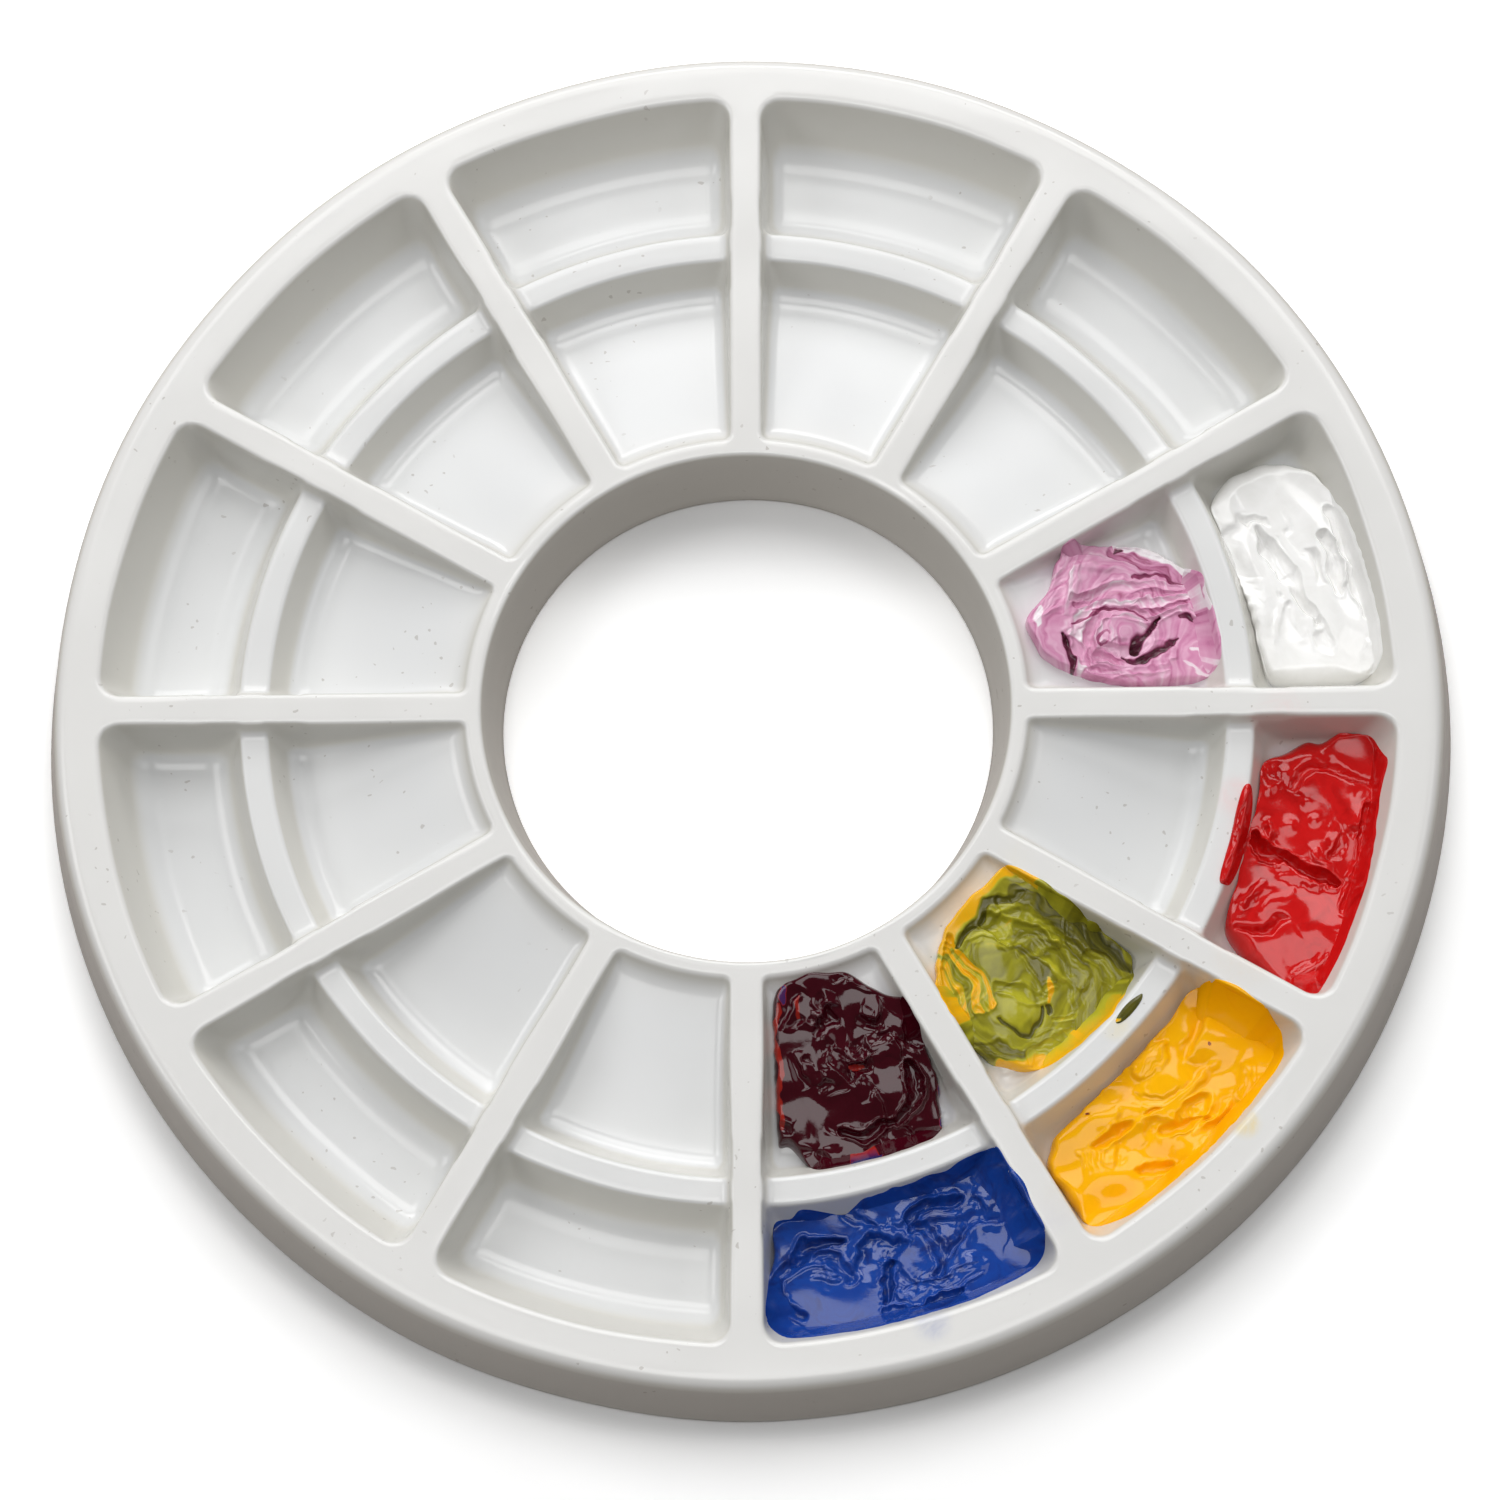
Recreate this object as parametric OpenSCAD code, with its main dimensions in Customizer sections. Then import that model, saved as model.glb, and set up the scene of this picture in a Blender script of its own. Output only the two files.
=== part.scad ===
// Round porcelain mixing palette: a ring with twelve sectors, each with a deep
// outer well and a shallower, sloping inner well, and the dabs of paint in it.
// Z is up, the table is z = 0, and the ribs stand at every 30 degrees from +X.

/* [Ring] */
// Diameter over the foot of the outer wall
ring_d = 254; // [246:1:262]
// Height of the rims and ribs above the table
ring_h = 17; // [16.5:0.5:20]
// Lean of the outer wall from vertical, wider at the foot
outer_lean = 8.8; // [4:0.2:10]
// Radius of the rounded outer shoulder
shoulder_r = 2.8; // [1.5:0.1:3.5]
// Radius of the central hole at the rim
hole_top_r = 47.4; // [46:0.1:48]
// Radius of the central hole at the table
hole_foot_r = 44.4; // [42:0.1:46]
// Depth of the underside recess between the two foot rings
recess_depth = 1.2; // [0.6:0.1:1.8]
// Width of each foot ring
foot_w = 6; // [4:0.5:7]

/* [Outer wells] */
// Radius of the outer wells' outer edge at the rim
outer_edge_r = 116.5; // [115:0.5:117.5]
// Depth of the outer wells below the rim
outer_depth = 13; // [11:0.5:13.5]
// Lean of the outer wells' outer wall from vertical
outer_wall_lean = 25; // [15:1:28]
// Fillet radius along the foot of the outer wells' curved walls
outer_fillet = 4; // [2:0.5:4.5]

/* [Divider] */
// Radius of the divider's outer edge
divider_outer_r = 91.1; // [90:0.1:92]
// Radius of the divider's inner edge
divider_inner_r = 86.2; // [85:0.1:87]
// Drop of the divider's top below the rim
divider_drop = 3; // [1.5:0.5:4]
// Lean of the divider's outer wall from vertical
divider_outer_lean = 18; // [10:1:20]
// Lean of the divider's inner wall from vertical
divider_inner_lean = 25; // [15:1:28]

/* [Inner wells] */
// Radius of the inner wells' inner edge at the rim
inner_edge_r = 50.4; // [50:0.1:52]
// Lean of the inner rim's wall from vertical
inner_rim_lean = 20; // [10:1:25]
// Depth of the inner floor's low end below the rim
inner_low_depth = 11; // [9:0.5:11.5]
// Radius at which the inner floor has its full depth
inner_low_r = 82; // [80:0.5:83]
// Slope of the inner floor, rising towards the hole
inner_slope = 15.5; // [13:0.5:15.5]
// Fillet radius at the low end of the inner floor
inner_low_fillet = 3; // [2:0.5:4]
// Fillet radius at the high end of the inner floor
inner_high_fillet = 2; // [1:0.5:2]

/* [Ribs] */
// Number of sectors
sectors = 12; // [12]
// Width of a rib's flat top
rib_w = 5.8; // [5:0.1:6.5]
// Lean of the ribs' sides from vertical
rib_lean = 7; // [3:1:9]
// Plan radius of the outer wells' outer corners
corner_r = 3.5; // [2:0.5:4]

/* [Paint] */
// Height of the paint piles over the floor of the outer wells
outer_pile_h = 6; // [4:0.5:7]
// Height of the paint piles over the floor of the inner wells
inner_pile_h = 4; // [3:0.5:5]
// Thickness of the red smear on the divider
smear_h = 1; // [0.5:0.1:1.5]

/* [Hidden] */
$fn = 96;
eps = 0.01;
ring_r = ring_d / 2;
pitch = 360 / sectors;
outer_floor_z = ring_h - outer_depth;
divider_z = ring_h - divider_drop;
inner_low_z = ring_h - inner_low_depth;
cut_top = ring_h + 2;
paint_sink = 0.5;
dome_fullness = 1.2;
rib_root_z = outer_floor_z - 1;
rib_inner_end = (hole_top_r + inner_edge_r) / 2;
rib_outer_end = outer_edge_r + 2.5;

// Centre of the fillet between a leaning wall and a floor line. The wall passes through
// [wall_r, wall_z] and leans by lean; side is 1 for a channel's outer wall and -1 for its
// inner wall. The floor passes through [floor_r, floor_z] and rises inwards by slope.
function fillet_centre(wall_r, wall_z, lean, side, floor_r, floor_z, slope, rad) =
    let (a = wall_r - side * (tan(lean) * wall_z + rad / cos(lean)))
    let (b = side * tan(lean))
    let (c = floor_z + tan(slope) * floor_r + rad / cos(slope))
    let (z = (c - tan(slope) * a) / (1 + tan(slope) * b))
    [a + b * z, z];

// Point where a fillet touches its wall.
function wall_touch(centre, lean, side, rad) =
    centre + rad * [side * cos(lean), -sin(lean)];

// Point where a fillet touches its floor.
function floor_touch(centre, slope, rad) =
    centre - rad * [sin(slope), cos(slope)];

// Radius of a leaning wall at height z, from its edge at [edge_r, edge_z].
function wall_at(edge_r, edge_z, lean, side, z) =
    edge_r - side * tan(lean) * (edge_z - z);

// Half width of a rib at height z.
function rib_half(z) = rib_w / 2 + tan(rib_lean) * (ring_h - z);

// Channel profile in the r-z plane between two leaning walls, with a fillet at each foot.
module channel(out_edge, out_lean, out_fillet, in_edge, in_lean, in_fillet, floor_pt, slope) {
    oc = fillet_centre(out_edge[0], out_edge[1], out_lean, 1, floor_pt[0], floor_pt[1], slope, out_fillet);
    ic = fillet_centre(in_edge[0], in_edge[1], in_lean, -1, floor_pt[0], floor_pt[1], slope, in_fillet);
    polygon([
        [wall_at(out_edge[0], out_edge[1], out_lean, 1, cut_top), cut_top],
        wall_touch(oc, out_lean, 1, out_fillet),
        floor_touch(oc, slope, out_fillet),
        floor_touch(ic, slope, in_fillet),
        wall_touch(ic, in_lean, -1, in_fillet),
        in_edge,
        [in_edge[0], cut_top]
    ]);
    translate(oc) circle(r = out_fillet);
    translate(ic) circle(r = in_fillet);
}

module outer_channel() {
    channel([outer_edge_r, ring_h], outer_wall_lean, outer_fillet,
            [divider_outer_r, divider_z], divider_outer_lean, outer_fillet,
            [outer_edge_r, outer_floor_z], 0);
}

module inner_channel() {
    channel([divider_inner_r, divider_z], divider_inner_lean, inner_low_fillet,
            [inner_edge_r, ring_h], inner_rim_lean, inner_high_fillet,
            [inner_low_r, inner_low_z], inner_slope);
}

// Space over the lowered top of the divider.
module saddle_space() {
    translate([divider_inner_r - eps, divider_z])
        square([divider_outer_r - divider_inner_r + 2 * eps, cut_top - divider_z]);
}

// Solid outline of the ring before its channels are cut.
module ring_outline() {
    shoulder_z = ring_h - shoulder_r;
    touch_z = shoulder_z + shoulder_r * sin(outer_lean);
    touch_r = ring_r - tan(outer_lean) * touch_z;
    shoulder_x = touch_r - shoulder_r * cos(outer_lean);
    polygon([
        [hole_foot_r, 0],
        [ring_r, 0],
        [touch_r, touch_z],
        [shoulder_x, ring_h],
        [hole_top_r, ring_h]
    ]);
    translate([shoulder_x, shoulder_z]) circle(r = shoulder_r);
}

module underside_recess() {
    inner_r = hole_foot_r + foot_w;
    outer_r = ring_r - foot_w;
    polygon([
        [inner_r, -1],
        [inner_r, 0],
        [inner_r + recess_depth, recess_depth],
        [outer_r - recess_depth, recess_depth],
        [outer_r, 0],
        [outer_r, -1]
    ]);
}

module ring() {
    rotate_extrude($fn = 240)
        difference() {
            ring_outline();
            outer_channel();
            inner_channel();
            saddle_space();
            underside_recess();
        }
}

// Cross-section of a rib, with X across it and Y up.
module rib_section() {
    polygon([
        [-rib_half(rib_root_z), rib_root_z],
        [rib_half(rib_root_z), rib_root_z],
        [rib_half(ring_h), ring_h],
        [-rib_half(ring_h), ring_h]
    ]);
}

// Rounds the corner between a rib's side and the outer wall, seen from above.
module outer_corner(side) {
    centre_y = rib_w / 2 + corner_r;
    centre_x = sqrt(pow(outer_edge_r - corner_r, 2) - pow(centre_y, 2));
    translate([0, 0, rib_root_z])
        linear_extrude(height = ring_h - rib_root_z)
            mirror([0, side < 0 ? 1 : 0])
                difference() {
                    translate([centre_x, 0]) square([corner_r + 2, centre_y]);
                    translate([centre_x, centre_y]) circle(r = corner_r);
                }
}

module rib(index) {
    rotate([0, 0, index * pitch]) {
        translate([rib_inner_end, 0, 0])
            rotate([90, 0, 90])
                linear_extrude(height = rib_outer_end - rib_inner_end)
                    rib_section();
        outer_corner(1);
        outer_corner(-1);
    }
}

module palette_body() {
    color("whitesmoke") {
        ring();
        for (index = [0:sectors - 1])
            rib(index);
    }
}

// Smooth closed outline of a dab, long by wide, with lobes of the given depth round its edge.
function dab_outline(long, wide, lobes, depth, phase) = [
    for (a = [0:10:350])
        (1 + depth * cos(lobes * a + phase)) * [long / 2 * cos(a), wide / 2 * sin(a)]
];

// Domed dab of paint standing on the local XY plane and sunk a little below it.
module dab(long, wide, lobes, depth, phase, height) {
    dome_r = dome_fullness * (pow(long / 2, 2) + pow(height, 2)) / (2 * height);
    intersection() {
        translate([0, 0, -paint_sink])
            linear_extrude(height = height + paint_sink)
                polygon(dab_outline(long, wide, lobes, depth, phase));
        translate([0, 0, height - dome_r]) sphere(r = dome_r, $fn = 120);
    }
}

// Domed band of paint that follows the ring, from start_angle over sweep degrees.
module band(start_angle, sweep, in_r, out_r, floor_z, height) {
    span = out_r - in_r;
    dome_r = dome_fullness * (pow(span / 2, 2) + pow(height, 2)) / (2 * height);
    rotate([0, 0, start_angle])
        rotate_extrude(angle = sweep, $fn = 240)
            intersection() {
                translate([in_r, floor_z - paint_sink]) square([span, height + paint_sink]);
                translate([in_r + span / 2, floor_z + height - dome_r]) circle(r = dome_r);
            }
}

// Height of the inner wells' sloping floor at radius r.
function inner_floor_at(r) = inner_low_z + tan(inner_slope) * (inner_low_r - r);

// Takes away from paint in a sector what the ring and its two ribs already fill.
module seated(sector) {
    difference() {
        children();
        ring();
        rib(sector);
        rib(sector + 1);
    }
}

// Puts a dab on the sloping floor of the inner well, at a radius and angle.
module on_inner_floor(radius, angle) {
    rotate([0, 0, angle])
        translate([radius, 0, inner_floor_at(radius)])
            rotate([0, inner_slope, 0])
                children();
}

// Puts a dab on the divider's flat top with its length along the ring.
module on_divider(radius, angle) {
    rotate([0, 0, angle])
        translate([radius, 0, divider_z + paint_sink])
            rotate([0, 0, 90])
                children();
}

module white_paint() {
    color("white")
        seated(0)
            band(4, 22, 93, 113.5, outer_floor_z, outer_pile_h);
}

module pink_mix() {
    color("palevioletred")
        seated(0)
            on_inner_floor(70, 15.5) dab(33, 26, 5, 0.05, 30, inner_pile_h);
}

module red_paint() {
    color("firebrick")
        seated(11)
            band(-26.5, 22.5, 93, 113.5, outer_floor_z, outer_pile_h);
}

module red_smear() {
    color("firebrick")
        on_divider(89.5, -15) dab(17, 2.4, 3, 0.08, 0, smear_h);
}

module yellow_paint() {
    color("orange")
        seated(10)
            band(-57, 24, 93, 113.5, outer_floor_z, outer_pile_h);
}

module olive_mix() {
    color("olive")
        seated(10)
            on_inner_floor(69.5, -45) dab(32, 27, 3, 0.04, 120, inner_pile_h);
}

module olive_fleck() {
    color("darkolivegreen")
        on_divider(87.9, -41) dab(7, 1.6, 2, 0.1, 0, smear_h / 2);
}

module maroon_mix() {
    color("maroon")
        seated(9)
            on_inner_floor(67.5, -75) dab(35, 25, 4, 0.06, 45, inner_pile_h);
}

module blue_paint() {
    color("midnightblue")
        seated(9)
            band(-87, 25, 93, 114, outer_floor_z, outer_pile_h);
}

palette_body();
white_paint();
pink_mix();
red_paint();
red_smear();
yellow_paint();
olive_mix();
olive_fleck();
maroon_mix();
blue_paint();
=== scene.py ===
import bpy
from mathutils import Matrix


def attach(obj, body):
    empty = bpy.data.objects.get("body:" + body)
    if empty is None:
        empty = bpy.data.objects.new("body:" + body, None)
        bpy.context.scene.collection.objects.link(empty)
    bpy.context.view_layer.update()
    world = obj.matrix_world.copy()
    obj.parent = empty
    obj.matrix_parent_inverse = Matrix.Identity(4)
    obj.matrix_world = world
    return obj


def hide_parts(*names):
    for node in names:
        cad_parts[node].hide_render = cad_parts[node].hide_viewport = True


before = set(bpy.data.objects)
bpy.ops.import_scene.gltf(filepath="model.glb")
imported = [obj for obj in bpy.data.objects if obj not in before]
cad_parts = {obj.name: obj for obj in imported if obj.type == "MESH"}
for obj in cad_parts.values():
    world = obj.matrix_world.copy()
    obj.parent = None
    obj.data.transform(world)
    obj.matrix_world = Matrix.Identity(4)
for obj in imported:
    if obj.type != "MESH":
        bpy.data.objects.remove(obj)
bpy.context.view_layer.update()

import math

import bpy
import numpy as np
from mathutils import Matrix, Vector

MM = 0.001

# Dimensions in millimetres, the same as the CAD's.
RING_R, RING_H = 127.0, 17.0
OUTER_LEAN, SHOULDER = 8.8, 2.8
OUTER_FLOOR, DIVIDER_Z = 4.0, 14.0
OUTER_EDGE, OUTER_WALL_LEAN = 116.5, 25.0
DIVIDER_OUT, DIVIDER_OUT_LEAN = 91.1, 18.0
DIVIDER_IN, DIVIDER_IN_LEAN = 86.2, 25.0
INNER_EDGE, INNER_LEAN = 50.4, 20.0
INNER_LOW_R, INNER_LOW_Z, INNER_SLOPE = 82.0, 6.0, 15.5
HOLE_TOP, HOLE_FOOT = 47.4, 44.4
RIB_HALF, RIB_LEAN = 2.9, 7.0
RECESS, FOOT_W = 1.2, 6.0
PITCH = math.radians(30)


# Trigonometry in degrees.
def tan(deg):
    return math.tan(math.radians(deg))


def cos(deg):
    return math.cos(math.radians(deg))


def sin(deg):
    return math.sin(math.radians(deg))


def smooth(x, lo, hi):
    """Zero up to lo, one from hi on, eased between."""
    t = np.clip((x - lo) / (hi - lo), 0, 1)
    return t * t * (3 - 2 * t)


def fillet(a, b, rad):
    """Space inside both a and b, with their concave corner filled by rad."""
    return np.maximum(rad, np.minimum(a, b)) - np.hypot(np.maximum(rad - a, 0), np.maximum(rad - b, 0))


def ease(a, b, rad):
    """Space inside a or b, with the solid's convex edge between them rounded by rad."""
    return np.minimum(-rad, np.maximum(a, b)) + np.hypot(np.maximum(rad + a, 0), np.maximum(rad + b, 0))


def waves(x, y, seed, short, long, count=7):
    """Smooth seeded unevenness with wavelengths from short to long, roughly -1 to 1."""
    rng = np.random.default_rng(seed)
    total = np.zeros_like(np.asarray(x, float))
    for _ in range(count):
        k = 2 * math.pi / rng.uniform(short, long)
        a, ph = rng.uniform(0, 2 * math.pi, 2)
        total += np.sin(k * (x * math.cos(a) + y * math.sin(a)) + ph)
    return total / math.sqrt(count)


def well_space(x, y, z):
    """Positive in the air over the ring, negative in the porcelain, for points over its top."""
    r, a = np.hypot(x, y), np.arctan2(y, x)
    near = np.abs((a + PITCH / 2) % PITCH - PITCH / 2)
    uneven = waves(x, y, 3, 18, 60)
    d_rib = (r * np.sin(near) - RIB_HALF - tan(RIB_LEAN) * (RING_H - z)) * cos(RIB_LEAN) + 0.10 * uneven
    # outer wells
    out = (OUTER_EDGE - tan(OUTER_WALL_LEAN) * (RING_H - z) - r) * cos(OUTER_WALL_LEAN) + 0.12 * uneven
    inn = (r - DIVIDER_OUT - tan(DIVIDER_OUT_LEAN) * (DIVIDER_Z - z)) * cos(DIVIDER_OUT_LEAN) + 0.08 * uneven
    floor = z - OUTER_FLOOR
    plan = 3.0 + 0.7 * smooth(r, 107, 114) - 1.5 * smooth(-r, -97, -92) * smooth(z, 6, 11)
    outer = fillet(fillet(fillet(floor, out, 4.0), inn, 4.0), d_rib, plan)
    # inner wells
    out = (DIVIDER_IN - tan(DIVIDER_IN_LEAN) * (DIVIDER_Z - z) - r) * cos(DIVIDER_IN_LEAN)
    inn = (r - INNER_EDGE - tan(INNER_LEAN) * (RING_H - z)) * cos(INNER_LEAN)
    floor = (z - INNER_LOW_Z - tan(INNER_SLOPE) * (INNER_LOW_R - r)) * cos(INNER_SLOPE)
    plan = 2.4 - 1.2 * np.maximum(smooth(-r, -55, -51), smooth(r, 83, 86))
    inner = fillet(fillet(fillet(floor, out, 3.0), inn, 2.0), d_rib, plan)
    # air over the divider
    saddle = fillet(z - DIVIDER_Z - 0.05 * uneven, d_rib, 1.8)
    saddle = np.minimum(saddle, np.minimum(r - 80, 97 - r))
    space = ease(ease(outer, saddle, 0.7), inner, 0.7)
    top = z - RING_H - 0.05 * uneven
    return ease(space, top, 0.8)


def top_height(x, y):
    """Height of the ring's upper surface, by bisection."""
    lo, hi = np.full_like(x, 2.0), np.full_like(x, RING_H + 0.4)
    for _ in range(22):
        mid = (lo + hi) / 2
        air = well_space(x, y, mid) > 0
        hi, lo = np.where(air, mid, hi), np.where(air, lo, mid)
    return (lo + hi) / 2


def spread(start, stop, step):
    """Values from start up to, but not including, stop, about step apart."""
    n = max(1, round((stop - start) / step))
    return list(np.linspace(start, stop, n + 1)[:-1])


# Radii of the upper surface's grid lines, close together where it bends.
TOP_RADII = (
    spread(48.4, 49.6, 0.6) + spread(49.6, 51.2, 0.16) + spread(51.2, 54.0, 0.4) + spread(54, 76.5, 1.5)
    + spread(76.5, 82.0, 0.9) + spread(82.0, 85.4, 0.5) + spread(85.4, 87.0, 0.2) + spread(87.0, 90.4, 0.8)
    + spread(90.4, 91.9, 0.2) + spread(91.9, 96.5, 0.6) + spread(96.5, 106.5, 1.4) + spread(106.5, 111.5, 0.7)
    + spread(111.5, 115.5, 0.6) + spread(115.5, 117.3, 0.2) + spread(117.3, 121.4, 0.9) + [121.5]
)
# Distances from a rib's centre line of the grid lines beside it, in millimetres.
RIB_LINES = [0, 1.2, 2.0, 2.35, 2.6, 2.8, 2.95, 3.1, 3.3, 3.5, 3.75, 4.0, 4.2, 4.4, 4.65, 5.0, 5.5, 6.1, 6.9, 7.8]


def column_angles(r):
    """Angles of the grid's columns round the ring at radius r, parallel to the ribs near them."""
    beside = np.arcsin(np.array(RIB_LINES) / r)
    between = np.linspace(beside[-1], PITCH / 2, 7)[1:]
    half = np.concatenate([beside, between])
    sector = np.concatenate([half, PITCH - half[-2:0:-1]])
    return np.concatenate([sector + k * PITCH for k in range(12)])


def arc(cr, cz, rad, start, stop, steps):
    """Points on an arc of a profile, in degrees."""
    return [(cr + rad * cos(a), cz + rad * sin(a)) for a in np.linspace(start, stop, steps)]


def body_rows():
    """Closed loop of profile rows round the ring's section, each an array of points round the ring."""
    # the upper surface, from the hole's rim to the shoulder
    angles = [column_angles(r) for r in TOP_RADII]
    x = np.array([r * np.cos(a) for r, a in zip(TOP_RADII, angles)])
    y = np.array([r * np.sin(a) for r, a in zip(TOP_RADII, angles)])
    rows = [np.stack(p, 1) for p in zip(x, y, top_height(x, y))]
    # the shoulder and the outside wall
    shoulder_z = RING_H - SHOULDER
    touch_z = shoulder_z + SHOULDER * sin(OUTER_LEAN)
    touch_r = RING_R - tan(OUTER_LEAN) * touch_z
    cx = touch_r - SHOULDER * cos(OUTER_LEAN)
    profile = arc(cx, shoulder_z, SHOULDER, 84, OUTER_LEAN, 9)
    profile += [(RING_R - tan(OUTER_LEAN) * h, h) for h in (12, 9.5, 7, 4.5, 2.5, 1.2)]
    # the outer foot, the recess and the inner foot
    profile += arc(RING_R - 0.9, 0.8, 0.8, 8, -90, 5)
    profile += [(RING_R - FOOT_W * 0.5, 0), (RING_R - FOOT_W + 0.3, 0), (RING_R - FOOT_W - 0.2, 0.25)]
    profile += [(RING_R - FOOT_W - 1.0, 1.0), (RING_R - FOOT_W - 1.8, RECESS)]
    profile += [(r, RECESS) for r in (110, 95, 80, 65, HOLE_FOOT + FOOT_W + 1.8)]
    profile += [(HOLE_FOOT + FOOT_W + 1.0, 1.0), (HOLE_FOOT + FOOT_W + 0.2, 0.25)]
    profile += [(HOLE_FOOT + FOOT_W - 0.3, 0), (HOLE_FOOT + FOOT_W * 0.5, 0)]
    # the wall of the hole
    profile += arc(HOLE_FOOT + 0.7, 0.7, 0.7, -90, -188, 5)
    lean = (HOLE_TOP - HOLE_FOOT) / RING_H
    profile += [(HOLE_FOOT + lean * h, h) for h in (2.5, 5, 8, 11, 14)]
    profile += arc(HOLE_TOP + 0.95, RING_H - 1.0, 1.0, 170, 96, 7)
    around = column_angles(RING_R)
    inside = column_angles(48.4)
    for r, h in profile:
        a = around if r > (RING_R + HOLE_TOP) / 2 else inside
        jog = 0.10 * waves(r * np.cos(a), r * np.sin(a), 5, 25, 90)
        rows.append(np.stack([(r + jog) * np.cos(a), (r + jog) * np.sin(a), np.full_like(a, h)], 1))
    return rows


def link(name, verts, faces, mat):
    """Smooth-shaded piece of the object, riding on its one body."""
    mesh = bpy.data.meshes.new(name)
    mesh.from_pydata([tuple(v) for v in verts], [], faces)
    mesh.update()
    mesh.shade_smooth()
    mesh.materials.append(mat)
    obj = bpy.data.objects.new(name, mesh)
    bpy.context.scene.collection.objects.link(obj)
    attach(obj, "root")
    return obj


def build_body(mat):
    """The ring, as one closed surface through the profile rows."""
    rows = body_rows()
    n, m = len(rows), len(rows[0])
    verts = np.concatenate(rows) * MM
    faces = []
    for i in range(n):
        j = (i + 1) % n
        for k in range(m):
            l = (k + 1) % m
            faces.append((i * m + k, j * m + k, j * m + l, i * m + l))
    return link("porcelain_ring", verts, faces, mat)


# ---------------------------------------------------------------- materials


class Nodes:
    """A node material on a principled shader, with short names for the nodes it needs."""

    def __init__(self, name):
        self.mat = bpy.data.materials.new(name)
        self.mat.use_nodes = True
        self.tree = self.mat.node_tree
        self.tree.nodes.clear()
        self.out = self.tree.nodes.new("ShaderNodeOutputMaterial")
        self.shader = self.tree.nodes.new("ShaderNodeBsdfPrincipled")
        self.join(self.shader.outputs[0], self.out.inputs[0])
        coord = self.tree.nodes.new("ShaderNodeTexCoord")
        self.place = coord.outputs["Object"]

    def join(self, a, b):
        self.tree.links.new(a, b)

    def put(self, value, socket):
        """Link a socket, or set a plain value."""
        if isinstance(value, bpy.types.NodeSocket):
            self.join(value, socket)
        else:
            socket.default_value = value

    def noise(self, scale, detail=3, rough=0.5, distort=0.0):
        n = self.tree.nodes.new("ShaderNodeTexNoise")
        self.join(self.place, n.inputs["Vector"])
        n.inputs["Scale"].default_value = scale
        n.inputs["Detail"].default_value = detail
        n.inputs["Roughness"].default_value = rough
        n.inputs["Distortion"].default_value = distort
        return n.outputs["Fac"]

    def ramp(self, fac, stops):
        """Colour ramp through (position, colour) stops."""
        n = self.tree.nodes.new("ShaderNodeValToRGB")
        els = n.color_ramp.elements
        while len(els) > 1:
            els.remove(els[-1])
        els[0].position, els[0].color = stops[0][0], (*stops[0][1], 1)
        for p, c in stops[1:]:
            els.new(p).color = (*c, 1)
        self.put(fac, n.inputs["Fac"])
        return n.outputs["Color"]

    def mix(self, fac, a, b):
        """From colour a to colour b."""
        n = self.tree.nodes.new("ShaderNodeMix")
        n.data_type = "RGBA"
        self.put(fac, n.inputs[0])
        for colour, socket in ((a, n.inputs[6]), (b, n.inputs[7])):
            self.put((*colour, 1) if isinstance(colour, tuple) else colour, socket)
        return n.outputs[2]

    def math(self, op, a, b):
        n = self.tree.nodes.new("ShaderNodeMath")
        n.operation = op
        self.put(a, n.inputs[0])
        self.put(b, n.inputs[1])
        return n.outputs[0]

    def fit(self, value, lo, hi, to_lo=0.0, to_hi=1.0):
        """The value's place between lo and hi, eased, as a place between to_lo and to_hi."""
        n = self.tree.nodes.new("ShaderNodeMapRange")
        n.interpolation_type = "SMOOTHSTEP"
        self.put(value, n.inputs[0])
        for i, v in zip((1, 2, 3, 4), (lo, hi, to_lo, to_hi)):
            n.inputs[i].default_value = v
        return n.outputs[0]

    def grey(self, value):
        n = self.tree.nodes.new("ShaderNodeCombineColor")
        for i in range(3):
            self.put(value, n.inputs[i])
        return n.outputs[0]

    def split(self, vector):
        n = self.tree.nodes.new("ShaderNodeSeparateXYZ")
        self.join(vector, n.inputs[0])
        return n.outputs

    def facing(self):
        """The surface's own direction."""
        return self.tree.nodes.new("ShaderNodeNewGeometry").outputs["Normal"]

    def distance(self, at):
        """Distance from a point, in metres."""
        n = self.tree.nodes.new("ShaderNodeVectorMath")
        n.operation = "DISTANCE"
        self.join(self.place, n.inputs[0])
        n.inputs[1].default_value = at
        return n.outputs["Value"]

    def near(self, at, reach):
        """One at a point, falling to nothing at reach from it."""
        return self.fit(self.distance(at), 0.25 * reach, reach, 1.0, 0.0)

    def attribute(self, name):
        n = self.tree.nodes.new("ShaderNodeAttribute")
        n.attribute_name = name
        return n.outputs["Fac"]

    def bump(self, height, distance, strength=1.0, normal=None):
        n = self.tree.nodes.new("ShaderNodeBump")
        n.inputs["Distance"].default_value = distance
        n.inputs["Strength"].default_value = strength
        self.put(height, n.inputs["Height"])
        if normal is not None:
            self.join(normal, n.inputs["Normal"])
        return n.outputs[0]

    def set(self, **sockets):
        """Inputs of the shader, with an underscore for each space in a name."""
        for name, value in sockets.items():
            self.put(value, self.shader.inputs[name.replace("_", " ")])


# Glaze, each as the two tones it drifts between: pooled in the wells, thin over the rims, and the bare foot.
POOLED = (0.752, 0.757, 0.757), (0.728, 0.737, 0.742)
THIN = (0.785, 0.780, 0.765), (0.765, 0.757, 0.738)
BARE = (0.62, 0.57, 0.50), (0.54, 0.48, 0.41)
# Painted shade for the steep walls, a darker and warmer grey than the glaze, and the colour of the tiny pits in the
# glaze.
STEEP_SHADE, PIT = (0.665, 0.650, 0.600), (0.30, 0.26, 0.22)
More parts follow.
